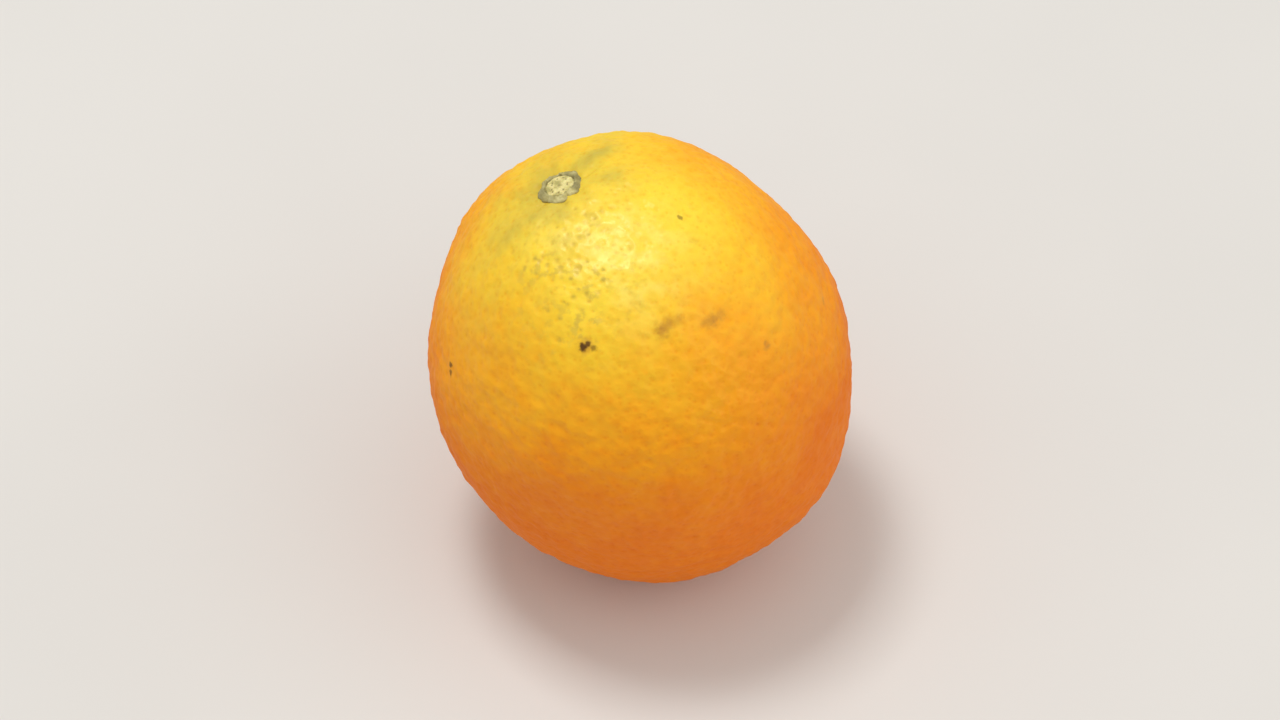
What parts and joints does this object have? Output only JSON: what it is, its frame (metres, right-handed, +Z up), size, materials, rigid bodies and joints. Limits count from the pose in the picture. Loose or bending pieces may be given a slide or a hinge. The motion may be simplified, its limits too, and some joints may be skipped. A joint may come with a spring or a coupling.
{
  "type": "orange",
  "caption": "Fresh whole orange, slightly longer along the stem than wide, with its dried stem button, resting on a small flat spot.",
  "frame": {"origin": "centre of the flat spot on the underside, where the fruit touches what it rests on", "axes": "+Z up, as the fruit rests; the stem end leans 20.1 degrees from +Z, mostly towards -X and a little towards +Y"},
  "size_m": [0.076, 0.075, 0.0836],
  "materials": {
    "rind": "waxy citrus peel, semi-gloss, finely pebbled by its oil glands, golden orange turning lemon yellow with a green tint at the stem shoulder, a few small brown marks",
    "dried_calyx": "dry matt calyx tissue, grey-olive ring round a pale cream stalk scar"
  },
  "bodies": {
    "root": {"fruit": "rind", "stem_button": "dried_calyx"}
  },
  "joints": []
}
